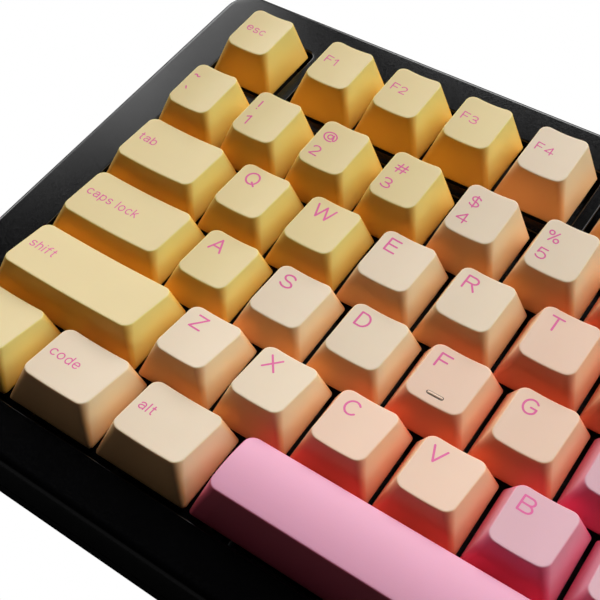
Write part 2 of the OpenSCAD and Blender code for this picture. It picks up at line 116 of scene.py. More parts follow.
LAYOUT = [
    *run(F, 0, ("esc", "esc", LEMON)),
    *run(F, 1.25, ("f1", "F1", LEMON), ("f2", "F2", LEMON), ("f3", "F3", LEMON),
         ("f4", "F4", CREAM)),
    *group("function_right", F, 5.5, ["F5", "F6", "F7", "F8"], [CREAM, PEACH, PEACH, PINK]),
    *group("function_right", F, 9.75, ["F9", "F10", "F11", "F12"],
           [PINK, ORCHID, ORCHID, ORCHID]),
    *group("function_right", F, 14, ["del"], [ORCHID]),
    *run(N, 0, ("grave", "~ `", LEMON), ("1", "! 1", LEMON), ("2", "@ 2", LEMON),
         ("3", "# 3", LEMON), ("4", "$ 4", CREAM), ("5", "% 5", CREAM)),
    *group("number_right", N, 6, ["^ 6", "& 7", "* 8", "( 9", ") 0", "_ -", "+ ="],
           [PEACH, PEACH, PINK, PINK, ORCHID, ORCHID, ORCHID]),
    *run(N, 13, ("backspace", "backspace", ORCHID, 2)),
    *run(Q, 0, ("tab", "tab", LEMON, 1.5), ("q", "Q", LEMON), ("w", "W", LEMON),
         ("e", "E", CREAM), ("r", "R", CREAM), ("t", "T", PEACH)),
    *group("upper_right", Q, 6.5, ["Y", "U", "I", "O", "P", "{ [", "} ]", "| \\"],
           [PEACH, PINK, PINK, ORCHID, ORCHID, ORCHID, ORCHID, ORCHID], 1.5),
    *run(A, 0, ("caps_lock", "caps lock", LEMON, 1.75), ("a", "A", LEMON),
         ("s", "S", CREAM), ("d", "D", CREAM), ("f", "F", PEACH), ("g", "G", PEACH)),
    *group("home_right", A, 6.75, ["H", "J", "K", "L", ": ;", "\" '"],
           [PINK, PINK, ORCHID, ORCHID, ORCHID, ORCHID]),
    *run(A, 12.75, ("enter", "enter", ORCHID, 2.25)),
    *run(Z, 0, ("left_shift", "shift", LEMON, 2.25), ("z", "Z", CREAM), ("x", "X", CREAM),
         ("c", "C", PEACH), ("v", "V", PEACH), ("b", "B", PINK)),
    *group("lower_right", Z, 7.25, ["N", "M", "< ,", "> .", "? /", "shift"],
           [PINK, ORCHID, ORCHID, ORCHID, ORCHID, ORCHID], 1.75),
    *group("arrows", Z, 14.25, ["up"], [ORCHID]),
    *run(B, 0, ("left_ctrl", "ctrl", LEMON, 1.25), ("code", "code", CREAM, 1.25),
         ("left_alt", "alt", CREAM, 1.25), ("space", "", ORCHID, 6.25)),
    *group("arrows", B, 10, ["alt", "fn", "ctrl"], [ORCHID] * 3),
    *group("arrows", B, 13.25, ["left", "down", "right"], [ORCHID] * 3),
    *[("keys_navigation", row, 15.25, 1, legend, ORCHID)
      for row, legend in ((N, "home"), (Q, "pg up"), (A, "pg dn"), (Z, "end"))],
]


# ---- outlines
def unit(v):
    return v / np.linalg.norm(v)


def round_corners(points, radii, k):
    """For each corner of a closed counterclockwise polygon, 2k + 1 points of its arc."""
    pts, arcs = np.asarray(points, float), []
    n = len(pts)
    for i in range(n):
        p, a, b = pts[i], pts[i - 1], pts[(i + 1) % n]
        d1, d2 = unit(p - a), unit(b - p)
        turn = math.atan2(d1[0] * d2[1] - d1[1] * d2[0], d1 @ d2)
        r = radii[i] if hasattr(radii, "__len__") else radii
        tangent = r * math.tan(abs(turn) / 2)
        side = math.copysign(1, turn)
        centre = p - d1 * tangent + side * r * np.array([-d1[1], d1[0]])
        spoke = p - d1 * tangent - centre
        arc = []
        for j in range(2 * k + 1):
            t = turn * j / (2 * k)
            c, s = math.cos(t), math.sin(t)
            arc.append(centre + np.array([c * spoke[0] - s * spoke[1],
                                          s * spoke[0] + c * spoke[1]]))
        arcs.append(np.array(arc))
    return arcs


def outline(points, radii, k, cuts):
    """A rounded polygon as one closed line. It starts in the middle of corner 0's arc,
    and cuts[i] points divide the straight edge after corner i."""
    arcs = round_corners(points, radii, k)
    n, out = len(arcs), []
    for i in range(n):
        out.extend(arcs[i][k:])
        a, b = arcs[i][-1], arcs[(i + 1) % n][0]
        out.extend(a + (b - a) * (j + 1) / (cuts[i] + 1) for j in range(cuts[i]))
        out.extend(arcs[(i + 1) % n][:k])
    return np.array(out)


def rectangle(x0, x1, y0, y1):
    return [(x0, y0), (x1, y0), (x1, y1), (x0, y1)]


def circle(n):
    """The angles of n points round a circle."""
    return np.linspace(0, 2 * math.pi, n, endpoint=False)


def raised(xy, z):
    """Points in a plane, with a height or heights."""
    return np.column_stack([xy, np.broadcast_to(z, len(xy))])


def placed(name, data):
    """A new object of the scene."""
    obj = bpy.data.objects.new(name, data)
    bpy.context.scene.collection.objects.link(obj)
    return obj


class Shell:
    """Collects vertices, each with a weight of painted shade for the keycaps' colour, and
    faces, each with the mark of its material, and turns them into one object."""

    def __init__(self):
        self.verts, self.tones, self.faces, self.marks, self.count = [], [], [], [], 0

    def add(self, points, tone=0.0):
        points = np.asarray(points, float)
        first = self.count
        self.verts.append(points)
        self.tones.append(np.full(len(points), tone))
        self.count += len(points)
        return first

    def face(self, corners, mark=0):
        self.faces.append(tuple(int(c) for c in corners))
        self.marks.append(mark)

    def rings(self, rings, mark=0, flip=False, tones=None):
        """Joins closed lines of one length, lowest first. Returns their first indices."""
        starts = [self.add(r, t) for r, t in zip(rings, tones or [0.0] * len(rings))]
        n = len(rings[0])
        for a, b in zip(starts, starts[1:]):
            for j in range(n):
                q = (a + j, a + (j + 1) % n, b + (j + 1) % n, b + j)
                self.face(q[::-1] if flip else q, mark)
        return starts

    def cap(self, start, n, mark=0, flip=False):
        q = tuple(range(start, start + n))
        self.face(q[::-1] if flip else q, mark)

    def solid(self, rings, mark=0):
        """Joins closed lines of one length and closes both ends."""
        starts, n = self.rings(rings, mark), len(rings[0])
        self.cap(starts[0], n, mark, flip=True)
        self.cap(starts[-1], n, mark)

    def grid(self, points, mark=0, flip=False, tone=0.0):
        nu, nv = points.shape[:2]
        first = self.add(points.reshape(-1, 3), tone)
        for i in range(nu - 1):
            for j in range(nv - 1):
                a = first + i * nv + j
                q = (a, a + nv, a + nv + 1, a + 1)
                self.face(q[::-1] if flip else q, mark)

    def object(self, name, materials, body, to_world=True, sharp=55):
        """The object on its body, with edges over sharp degrees left hard."""
        points = np.concatenate(self.verts)
        points = world(points) if to_world else points * MM
        mesh = bpy.data.meshes.new(name)
        mesh.from_pydata(points.tolist(), [], self.faces)
        for m in materials:
            mesh.materials.append(m)
        mesh.polygons.foreach_set("material_index", self.marks)
        # Each vertex's weight of painted shade goes into a point attribute for the keycap
        # materials
        tone = mesh.attributes.new("tone", "FLOAT", "POINT")
        tone.data.foreach_set("value", np.concatenate(self.tones))
        bm = bmesh.new()
        bm.from_mesh(mesh)
        bmesh.ops.remove_doubles(bm, verts=bm.verts, dist=2e-6)
        bmesh.ops.dissolve_degenerate(bm, dist=1e-7, edges=bm.edges)
        bm.to_mesh(mesh)
        bm.free()
        mesh.shade_smooth()
        mesh.set_sharp_from_angle(angle=math.radians(sharp))
        obj = placed(name, mesh)
        if body:
            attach(obj, body)
        return obj


# ---- keycaps
CORNER_K = 3


class Cap:
    """The shape of one keycap about the middle of its cell, in the plate frame."""

    def __init__(self, row, width):
        self.width = width
        self.half_w = width * UNIT / 2 - CAP_GAP / 2
        self.half_d = UNIT / 2 - CAP_GAP / 2
        self.front, self.back = FRONT_EDGE[row], BACK_EDGE[row]
        self.top_front = self.half_w - self.side_inset(self.front)
        self.top_back = self.half_w - self.side_inset(self.back)
        self.space = width > 6
        lengthwise = max(4, round(width * 5))
        self.cuts = [lengthwise, 6, lengthwise, 6]

    def side_inset(self, h):
        """How far the sides lean in up to a top edge at height h."""
        return 3.25 - 0.15 * (9.8 - h)

    def plane_z(self, y):
        """Height of the plane through the top's edges."""
        t = (y - CAP_FRONT_Y) / (CAP_BACK_Y - CAP_FRONT_Y)
        return self.front + (self.back - self.front) * t

    def top_z(self, x, y):
        """Height of the finished top surface over the lower edge."""
        z = self.plane_z(y)
        if self.space:
            middle = (CAP_FRONT_Y + CAP_BACK_Y) / 2
            half = (CAP_BACK_Y - CAP_FRONT_Y) / 2
            return z + CROWN * (1 - np.clip((y - middle) / half, -1, 1) ** 2)
        t = (y - CAP_FRONT_Y) / (CAP_BACK_Y - CAP_FRONT_Y)
        half = self.top_front + (self.top_back - self.top_front) * t
        return z - DISH * (1 - np.clip(x / half, -1, 1) ** 2)

    def top_quad(self, inset):
        return [(-self.top_front + inset, CAP_FRONT_Y + inset),
                (self.top_front - inset, CAP_FRONT_Y + inset),
                (self.top_back - inset, CAP_BACK_Y - inset),
                (-self.top_back + inset, CAP_BACK_Y - inset)]

    def top_line(self, inset, radius, drop=0.0):
        line = outline(self.top_quad(inset), radius, CORNER_K, self.cuts)
        return raised(line, self.top_z(line[:, 0], line[:, 1]) - drop)

    def base_line(self, inset, radius, z):
        w, d = self.half_w - inset, self.half_d - inset
        return raised(outline(rectangle(-w, w, -d, d), radius, CORNER_K, self.cuts), z)

    def patch(self, ring, drop=0.0):
        """A grid of quads inside a closed line, at heights drop below the top surface."""
        nu = 2 * CORNER_K + self.cuts[0] + 1
        nv = 2 * CORNER_K + self.cuts[1] + 1
        c0, d1 = ring[:nu + 1], ring[nu:nu + nv + 1]
        c1 = ring[nu + nv:2 * nu + nv + 1][::-1]
        d0 = np.concatenate([ring[2 * nu + nv:], ring[:1]])[::-1]
        u = np.linspace(0, 1, nu + 1)[:, None, None]
        v = np.linspace(0, 1, nv + 1)[None, :, None]
        out = ((1 - v) * c0[:, None] + v * c1[:, None] + (1 - u) * d0[None] + u * d1[None]
               - (1 - u) * (1 - v) * c0[0] - u * (1 - v) * c0[-1]
               - (1 - u) * v * c1[0] - u * v * c1[-1])
        core = out[1:-1, 1:-1]
        core[..., 2] = self.top_z(core[..., 0], core[..., 1]) - drop
        return out


def slope_line(low, high, t):
    return low + (high - low) * t


def conic(a, corner, b, steps, weight):
    """Lines of a rounded edge from line a to line b, drawn towards the corner's line."""
    out = []
    for s in np.linspace(0, 1, steps):
        p, q, r = (1 - s) ** 2, 2 * weight * s * (1 - s), s * s
        out.append((p * a + q * corner + r * b) / (p + q + r))
    return out


BASE_R, TOP_R, TOP_EDGE = 0.9, 2.1, 0.27
# How deep the painted shade is on the lines of a keycap's sides, from the foot up, and of
# its edge, fading to none on the lit top
SIDE_SHADE_TONES = [0.9, 0.89, 0.86, 0.74, 0.6, 0.54]
EDGE_SHADE_TONES = [0.52, 0.52, 0.48, 0.3, 0.06, 0.0]


def add_cap(shell, row, x, width, mark):
    """A hollow keycap. Returns it and the middle of its cell."""
    cap = Cap(row, width)
    centre = np.array([(x + width / 2) * UNIT, ROW_Y[row], 0.0])
    low, high = cap.base_line(0, BASE_R, 0), cap.top_line(0, TOP_R)
    along = high - low
    length = np.linalg.norm(along, axis=1, keepdims=True)
    start = high - along / length * TOP_EDGE
    end = cap.top_line(TOP_EDGE, TOP_R - TOP_EDGE)
    sides = [cap.base_line(0.06, BASE_R - 0.05, 0), slope_line(low, high, 0.01)]
    sides += [slope_line(low, start, t) for t in (0.06, 0.35, 0.65, 0.94)]
    fillet = conic(start, high, end, len(EDGE_SHADE_TONES), 0.81)
    # The sides carry painted shade, deepest at the foot and fading out over the edge to the
    # lit top
    shell.rings([p + centre for p in sides + fillet], mark, tones=SIDE_SHADE_TONES + EDGE_SHADE_TONES)
    shell.grid(cap.patch(end) + centre, mark)
    ceiling = cap.top_line(CAP_WALL + 0.3, 0.8, CAP_TOP)
    mouth = cap.base_line(CAP_WALL, 0.5, 0)
    inner = [sides[0], mouth, slope_line(mouth, ceiling, 0.5), ceiling]
    # The inside of the cap is painted in the deepest shade
    shell.rings([p + centre for p in inner], mark, flip=True, tones=[1.0] * 4)
    shell.grid(cap.patch(ceiling, CAP_TOP) + centre, mark, flip=True, tone=1.0)
    return cap, centre


def disc(radius, z, n=20):
    a = circle(n)
    return raised(radius * np.column_stack([np.cos(a), np.sin(a)]), z)


def box_rings(half_x, half_y, z0, z1, bevel, cuts=0):
    """Lines of a block with small bevels, lowest first, with cuts points on each edge."""
    def line(inset, z):
        x, y = half_x - inset, half_y - inset
        radius = max(0.05, bevel - inset * 0.5)
        return raised(outline(rectangle(-x, x, -y, y), radius, 1, [cuts] * 4), z)
    return [line(bevel, z0), line(0, z0 + bevel), line(0, z1 - bevel), line(bevel, z1)]


def add_block(shell, centre, half_x, half_y, z0, z1, bevel, mark):
    rings = box_rings(half_x, half_y, z0, z1, bevel)
    shell.solid([p + centre for p in rings], mark)


# A slider's and a stem's lower and upper end, the top of the slider's bore, its radius
STEM_LOW, STEM_HIGH, BORE_TOP, BORE_R = PLATE_Z + 1.3, PLATE_Z + 6.4, PLATE_Z + 4.6, 2.45


def add_slider(shell, centre, mark):
    """The slider of a switch: a block with a bore for the spring, and its guide pin."""
    block = box_rings(3.5, 2.7, STEM_LOW, STEM_HIGH, 0.25, cuts=4)
    angle = np.arctan2(block[0][:, 1], block[0][:, 0])
    bore = BORE_R * np.column_stack([np.cos(angle), np.sin(angle)])
    bore = [raised(bore, z) for z in (BORE_TOP, STEM_LOW)]
    shell.solid([p + centre for p in bore + block], mark)
    pin = [disc(r, PLATE_Z + z) for r, z in ((0.8, -1.5), (1.2, -1.1), (1.2, 4.8))]
    shell.solid([p + centre for p in pin], mark)


def stem_places(width):
    """Where along a key its slider and its stabilizer stems stand."""
    if width > 6:
        return [-50.0, 0.0, 50.0]
    return [-11.938, 0.0, 11.938] if width >= 2 else [0.0]


def add_stems(shell, cap, centre, cap_mark, stem_mark):
    """The posts under the cap, and the slider and stabilizer stems that carry them."""
    for x in stem_places(cap.width):
        at = centre + np.array([x, 0, 0])
        ceiling = float(cap.top_z(np.array(x), np.array(0.0))) - CAP_TOP / 2
        post = [disc(2.4, 0.3), disc(2.75, 0.6), disc(2.75, ceiling)]
        shell.solid([p + at for p in post], cap_mark)
        if x == 0:
            add_slider(shell, at, stem_mark)
        else:
            add_block(shell, at, 2.7, 2.2, STEM_LOW, STEM_HIGH, 0.25, stem_mark)
        for half_x, half_y in ((2.0, 0.62), (0.55, 2.0)):
            add_block(shell, at, half_x, half_y, STEM_HIGH - 0.4, 2.2, 0.1, stem_mark)


# ---- legends
# Heights of capitals: letter keys, digit keys, words
LETTER_H, DIGIT_H, SMALL_H = 4.0, 3.1, 2.5
LEGEND_LEFT = 5.1
# How far the ink's plates stand out of the keycap and reach into it
RAISED, SUNK = 0.012, 0.06
# Width of a stroke and spaces after a letter and for a blank, in heights of a capital
STROKE, LETTER_GAP, BLANK = 0.115, 0.165, 0.42
# Strokes of a plain sans-serif alphabet. A stroke is a line through points (x, y) and
# arcs (middle x, middle y, half width, half height, first angle, last angle). A capital
# runs from 0 to 1, measured along the middle of its stroke.
BOWL = (0.26, 0.36, 0.26, 0.36, 0, 360)
GLYPHS = {
    "A": [[(0, 0), (.37, 1), (.74, 0)], [(.13, .34), (.61, .34)]],
    "B": [[(0, .52), (0, 1), (.38, 1), (.38, .76, .23, .24, 90, -90), (0, .52), (0, 0),
           (.38, 0), (.38, .26, .27, .26, -90, 90)]],
    "C": [[(.37, .5, .37, .5, 42, 318)]],
    "D": [[(0, 0), (0, 1), (.27, 1), (.27, .5, .38, .5, 90, -90), (0, 0)]],
    "E": [[(.59, 0), (0, 0), (0, 1), (.59, 1)], [(0, .52), (.54, .52)]],
    "F": [[(0, 0), (0, 1), (.59, 1)], [(0, .5), (.5, .5)]],
    "G": [[(.37, .5, .37, .5, 42, 325), (.7, .46), (.4, .46)]],
    "H": [[(0, 0), (0, 1)], [(.64, 0), (.64, 1)], [(0, .52), (.64, .52)]],
    "I": [[(0, 0), (0, 1)]],
    "J": [[(.43, 1), (.43, .27), (.215, .27, .215, .27, 0, -170)]],
    "K": [[(0, 0), (0, 1)], [(.6, 1), (0, .36)], [(.21, .59), (.64, 0)]],
    "L": [[(0, 1), (0, 0), (.54, 0)]],
    "M": [[(0, 0), (0, 1), (.38, 0), (.76, 1), (.76, 0)]],
    "N": [[(0, 0), (0, 1), (.64, 0), (.64, 1)]],
    "O": [[(.38, .5, .38, .5, 0, 360)]],
    "P": [[(0, 0), (0, 1), (.37, 1), (.37, .73, .26, .27, 90, -90), (0, .46)]],
    "Q": [[(.44, .5, .38, .5, 0, 360)], [(.54, .22), (.79, -.05)]],
    "R": [[(0, 0), (0, 1), (.38, 1), (.38, .75, .25, .25, 90, -90), (0, .5)],
          [(.36, .5), (.66, 0)]],
    "S": [[(.325, .745, .29, .255, 22, 270), (.325, .245, .325, .245, 90, -160)]],
    "T": [[(.07, 1), (.71, 1)], [(.39, 1), (.39, 0)]],
    "U": [[(0, 1), (0, .3), (.31, .3, .31, .3, 180, 360), (.62, 1)]],
    "V": [[(0, 1), (.36, 0), (.72, 1)]],
    "W": [[(0, 1), (.28, 0), (.57, 1), (.86, 0), (1.14, 1)]],
    "X": [[(0, 0), (.68, 1)], [(.02, 1), (.7, 0)]],
    "Y": [[(0, 1), (.35, .44), (.7, 1)], [(.35, .44), (.35, 0)]],
    "Z": [[(.09, 1), (.69, 1), (.06, 0), (.71, 0)]],
    "0": [[(.3, .5, .3, .5, 0, 360)]],
    "1": [[(0, .76), (.27, 1), (.27, 0)]],
    "2": [[(.3, .72, .29, .28, 165, -35), (0, 0), (.6, 0)]],
    "3": [[(.33, .75, .3, .25, 150, -90), (.33, .25, .35, .25, 90, -155)],
          [(.23, .5), (.33, .5)]],
    "4": [[(.57, 0), (.57, 1), (0, .3), (.8, .3)]],
    "5": [[(.62, 1), (.12, 1), (.06, .5), (.33, .32, .35, .32, 132, -150)]],
    "6": [[(.3, .31, .3, .31, 0, 360)], [(.5, .35, .5, .65, 92, 180)]],
    "7": [[(0, 1), (.58, 1), (.18, 0)]],
    "8": [[(.3, .755, .25, .245, 0, 360)], [(.3, .255, .3, .255, 0, 360)]],
    "9": [[(.3, .69, .3, .31, 0, 360)], [(.1, .65, .5, .65, -88, 0)]],
    "~": [[(.09, .64, .11, .1, 180, 30), (.29, .69, .11, .1, 210, 360)]],
    "`": [[(0, 1), (.13, .78)]],
    "!": [[(0, 1), (0, .3)], [(0, .02), (0, 0)]],
    "@": [[(.5, .5, .5, .5, 300, -25), (.86, .3, .1, .1, 0, -120), (.7, .75)],
          [(.5, .5, .2, .24, 0, 360)]],
    "#": [[(.28, 0), (.45, 1)], [(.66, 0), (.83, 1)], [(.14, .67), (.99, .67)],
          [(.1, .33), (.95, .33)]],
    "$": [[(.34, .745, .31, .255, 22, 270), (.34, .245, .34, .245, 90, -160)],
          [(.34, 1.12), (.34, -.12)]],
    "%": [[(.17, .8, .17, .2, 0, 360)], [(.7, .2, .17, .2, 0, 360)], [(.68, 1), (.19, 0)]],
    "^": [[(0, .6), (.22, 1), (.44, .6)]],
    "&": [[(.68, 0), (.16, .7), (.31, .8, .15, .2, 210, -50), (.08, .44),
           (.25, .26, .25, .26, 140, 330), (.64, .52)]],
    "*": [[(.2, 1), (.2, .56)], [(.01, .89), (.39, .67)], [(.01, .67), (.39, .89)]],
    "(": [[(.45, .44, .45, .66, 125, 235)]],
    ")": [[(-.26, .44, .45, .66, 55, -55)]],
    "_": [[(0, -.1), (.6, -.1)]],
    "-": [[(0, .42), (.4, .42)]],
    "+": [[(0, .42), (.58, .42)], [(.29, .71), (.29, .13)]],
    "=": [[(0, .57), (.56, .57)], [(0, .27), (.56, .27)]],
    "{": [[(.26, 1.05), (.13, .97), (.13, .56), (0, .45), (.13, .34), (.13, -.07),
           (.26, -.15)]],
    "}": [[(0, 1.05), (.13, .97), (.13, .56), (.26, .45), (.13, .34), (.13, -.07),
           (0, -.15)]],
    "[": [[(.2, 1.05), (0, 1.05), (0, -.15), (.2, -.15)]],
    "]": [[(0, 1.05), (.2, 1.05), (.2, -.15), (0, -.15)]],
    "|": [[(0, 1.06), (0, -.15)]],
    "\\": [[(0, 1.04), (.38, -.06)]],
    "/": [[(0, -.06), (.38, 1.04)]],
    ":": [[(0, .62), (0, .6)], [(0, .02), (0, 0)]],
    ";": [[(.06, .62), (.06, .6)], [(.06, .02), (0, -.18)]],
    '"': [[(0, 1), (0, .74)], [(.2, 1), (.2, .74)]],
    "'": [[(0, 1), (0, .74)]],
    "<": [[(.52, .72), (0, .42), (.52, .12)]],
    ">": [[(0, .72), (.52, .42), (0, .12)]],
    ",": [[(.06, .03), (0, -.18)]],
    ".": [[(0, .02), (0, 0)]],
    "?": [[(.26, .76, .25, .24, 170, -45), (.26, .44), (.26, .3)], [(.26, .02), (.26, 0)]],
    "a": [[(.24, .5, .23, .22, 155, 0), (.47, 0)],
          [(.47, .42), (.24, .41), (.22, .205, .22, .205, 95, 270), (.47, .13)]],
    "b": [[(0, 1), (0, 0)], [BOWL]],
    "c": [[(.27, .36, .27, .36, 45, 315)]],
    "d": [[(.52, 1), (.52, 0)], [BOWL]],
    "e": [[(.01, .38), (.53, .38), (.27, .36, .27, .36, 4, 320)]],
    "f": [[(.36, 1), (.3, .8, .16, .2, 90, 180), (.14, 0)], [(0, .7), (.33, .7)]],
    "g": [[(.52, .72), (.52, -.02), (.27, -.02, .25, .26, 0, -150)], [BOWL]],
    "h": [[(0, 1), (0, 0)], [(0, .46), (.22, .46, .22, .26, 180, 0), (.44, 0)]],
    "i": [[(0, .72), (0, 0)], [(0, .98), (0, 1)]],
    "k": [[(0, 1), (0, 0)], [(.41, .72), (0, .27)], [(.15, .44), (.44, 0)]],
    "l": [[(0, 1), (0, 0)]],
    "m": [[(0, .72), (0, 0)], [(0, .5), (.17, .5, .17, .22, 180, 0), (.34, 0)],
          [(.34, .5), (.51, .5, .17, .22, 180, 0), (.68, 0)]],
    "n": [[(0, .72), (0, 0)], [(0, .46), (.22, .46, .22, .26, 180, 0), (.44, 0)]],
    "o": [[(.28, .36, .28, .36, 0, 360)]],
    "p": [[(0, .72), (0, -.28)], [BOWL]],
    "r": [[(0, .72), (0, 0)], [(0, .4), (.22, .44, .22, .28, 180, 85)]],
    "s": [[(.22, .54, .21, .18, 28, 270), (.22, .18, .22, .18, 90, -155)]],
    "t": [[(.13, .95), (.13, .15), (.27, .15, .14, .15, 180, 270)], [(0, .7), (.28, .7)]],
    "u": [[(0, .72), (0, .26), (.22, .26, .22, .26, 180, 360)], [(.44, .72), (.44, 0)]],
    "bar": [[(.34, 0), (2.52, 0), (2.52, .34, .34, .34, -90, 90), (.34, .68),
             (.34, .34, .34, .34, 90, 270)]],
    "up": [[(.4, 0), (.4, .9)], [(.05, .55), (.4, .9), (.75, .55)]],
    "down": [[(.4, .9), (.4, 0)], [(.05, .35), (.4, 0), (.75, .35)]],
    "left": [[(.9, .45), (0, .45)], [(.35, .8), (0, .45), (.35, .1)]],
    "right": [[(0, .45), (.9, .45)], [(.55, .8), (.9, .45), (.55, .1)]],
}
# How far right of the legends' common left line a legend starts
BEARING = {"T": 0.07, "Z": 0.07, "Q": 0.07, "#": 0.11, "~": -0.16, "!": 0.11, "$": 0.14,
           "%": -0.05, "shift": 0.1}
SMOOTH = 0.75  # cosine of the widest bend of a stroke that needs no disc at its corner
MADE = {}


def stroke_points(path):
    """The points of a stroke, its arcs cut into short lines."""
    out = []
    for item in path:
        if len(item) == 2:
            out.append(item)
            continue
        cx, cy, rx, ry, first, last = item
        steps = max(3, math.ceil(abs(last - first) / 17))
        for a in np.radians(np.linspace(first, last, steps)):
            out.append((cx + rx * math.cos(a), cy + ry * math.sin(a)))
    points = [np.array(out[0])]
    for p in out[1:]:
        if np.linalg.norm(np.array(p) - points[-1]) > 0.012:
            points.append(np.array(p))
    return [np.array([p[0], STROKE / 2 + p[1] * (1 - STROKE)]) for p in points]


def stroke_polygons(points):
    """Convex polygons over a stroke: quads along it, discs at its ends and corners."""
    half, out = STROKE / 2, []
    ways = [unit(b - a) for a, b in zip(points, points[1:])]
    sides = [np.array([-w[1], w[0]]) for w in ways]
    for i, p in enumerate(points):
        ends = i in (0, len(points) - 1)
        if ends or ways[i - 1] @ ways[i] < SMOOTH:
            a = circle(12) + 0.1
            out.append(p + half * np.column_stack([np.cos(a), np.sin(a)]))
    for i in range(len(ways)):
        ends = []
        for j, near in ((i, i - 1), (i + 1, i + 1)):
            side = sides[i]
            if 0 <= near < len(ways) and ways[i] @ ways[near] >= SMOOTH:
                side = (sides[i] + sides[near]) / (1 + sides[i] @ sides[near])
            ends.append((points[j], side * half))
        (p, u), (q, v) = ends
        out.append(np.array([p - u, q - v, q + v, p + u]))
    return out


def glyph_mesh(char):
    """(points, faces) of a glyph as a thin plate."""
    if char in MADE:
        return MADE[char]
    flat, faces = [], []
    for path in GLYPHS[char]:
        for polygon in stroke_polygons(stroke_points(path)):
            faces.append(list(range(len(flat), len(flat) + len(polygon))))
            flat.extend(Vector(p) for p in polygon)
    got = delaunay_2d_cdt(flat, [], faces, 0, 1e-5)
    kept = [tuple(f) for f, origin in zip(got[2], got[5]) if origin]
    n = len(got[0])
    points = np.array([(*v, z) for z in (-1, 1) for v in got[0]])
    edges = {(a, b) for f in kept for a, b in zip(f, f[1:] + f[:1])}
    out = [tuple(i + n for i in f) for f in kept] + [f[::-1] for f in kept]
    out += [(a, b, b + n, a + n) for a, b in edges if (b, a) not in edges]
    MADE[char] = (points, out)
    return MADE[char]


def text_mesh(text):
    """(points, faces) of a word with its capitals 1 high, its left end near 0."""
    points, faces, x, count = [], [], BEARING.get(text, 0.0), 0
    for char in [text] if text in GLYPHS else text:
        if char == " ":
            x += BLANK
            continue
        p, f = glyph_mesh(char)
        low, high = p[:, 0].min(), p[:, 0].max()
        points.append(p + (x - low, 0, 0))
        faces.extend(tuple(i + count for i in face) for face in f)
        count += len(p)
        x += high - low + LETTER_GAP
    return np.concatenate(points), faces


def cut_finely(points, faces, step):
    """The same faces cut along a grid, so that they can follow a curved surface."""
    mesh = bpy.data.meshes.new("cut")
    mesh.from_pydata(points.tolist(), [], faces)
    bm = bmesh.new()
    bm.from_mesh(mesh)
    bpy.data.meshes.remove(mesh)
    bmesh.ops.remove_doubles(bm, verts=bm.verts, dist=1e-5)
    for axis in (0, 1):
        low, high = points[:, axis].min(), points[:, axis].max()
        for value in np.arange(math.ceil(low / step), math.ceil(high / step)) * step:
            place, normal = [0, 0, 0], [0, 0, 0]
            place[axis], normal[axis] = value + 1e-4, 1
            geometry = bm.verts[:] + bm.edges[:] + bm.faces[:]
            bmesh.ops.bisect_plane(bm, geom=geometry, plane_co=place, plane_no=normal)
    bmesh.ops.triangulate(bm, faces=[f for f in bm.faces if len(f.verts) > 4])
    bm.verts.index_update()
    out = (np.array([v.co[:] for v in bm.verts]),
           [tuple(v.index for v in f.verts) for f in bm.faces])
    bm.free()
    return out


def add_lettering(shell, cap, centre, text, left, base, height, mark):
    """A word set into the top of a keycap, its left end and its base line given."""
    points, faces = text_mesh(text)
    points[:, :2] *= height
    points += (left, base, 0)
    points, faces = cut_finely(points, faces, 1.1)
    surface = cap.top_z(points[:, 0], points[:, 1])
    points[:, 2] = surface + np.where(points[:, 2] > 0, RAISED, -SUNK)
    first = shell.add(points + centre)
    for f in faces:
        shell.face([first + i for i in f], mark)


def add_legend(shell, cap, centre, legend, mark):
    left = -cap.width * UNIT / 2 + LEGEND_LEFT
    parts = legend.split(" ")
    if len(parts) == 2 and len(parts[0]) == 1:
        lines = [(parts[0], 2.8, DIGIT_H), (parts[1], -2.45, DIGIT_H)]
    elif len(legend) == 1:
        lines = [(legend, 3.2, LETTER_H)]
    else:
        lines = [(legend, 1.15, SMALL_H)] if legend else []
        left -= 0.4 if cap.width > 1 else 0.0
    for text, base, height in lines:
        add_lettering(shell, cap, centre, text, left, base, height, mark)


def add_homing_bar(shell, cap, centre, mark, shade_ring_mark):
    """A small rounded bar at the front of the key top, ringed by a fine dark line of
    painted shade where it meets the top.
    """
    half, radius, middle_x, middle_y, line = 1.42, 0.33, -0.28, -2.8, 0.16
    add_lettering(shell, cap, centre, "bar", middle_x - half - radius - line,
                  middle_y - radius - line, 1.3, shade_ring_mark)
    a, rows = circle(24), []
    for t in np.linspace(0, math.pi / 2, 9):
        px = np.where(np.cos(a) > 0, half, -half) + radius * math.cos(t) * np.cos(a)
        px, py = px + middle_x, radius * math.cos(t) * np.sin(a) + middle_y
        pz = cap.top_z(px, py) - 0.05 + 0.21 * math.sin(t)
        rows.append(np.column_stack([px, py, pz]) + centre)
    shell.cap(shell.rings(rows, mark)[-1], len(a), mark)


# ---- materials
def node_tree(name):
    material = bpy.data.materials.new(name)
    material.use_nodes = True
    tree = material.node_tree
    return material, tree, tree.nodes["Principled BSDF"]


def feed(tree, node, values):
    """Gives a node's inputs their values, or links them where a value is an output."""
    for key, value in values.items():
        if isinstance(value, bpy.types.NodeSocket):
            tree.links.new(value, node.inputs[key])
        else:
            node.inputs[key].default_value = value


def add_node(tree, kind, values=None):
    node = tree.nodes.new("ShaderNode" + kind)
    feed(tree, node, values or {})
    return node


def noise(tree, scale, detail=3.0, roughness=0.5):
    """Noise over the object's own coordinates. The scale is one number or one an axis."""
    stretch = scale if isinstance(scale, tuple) else (scale,) * 3
    where = add_node(tree, "TexCoord").outputs["Object"]
    mapping = add_node(tree, "Mapping", {"Scale": stretch, "Vector": where})
    return add_node(tree, "TexNoise", {
        "Vector": mapping.outputs["Vector"], "Scale": 1.0, "Detail": detail,
        "Roughness": roughness}).outputs["Fac"]


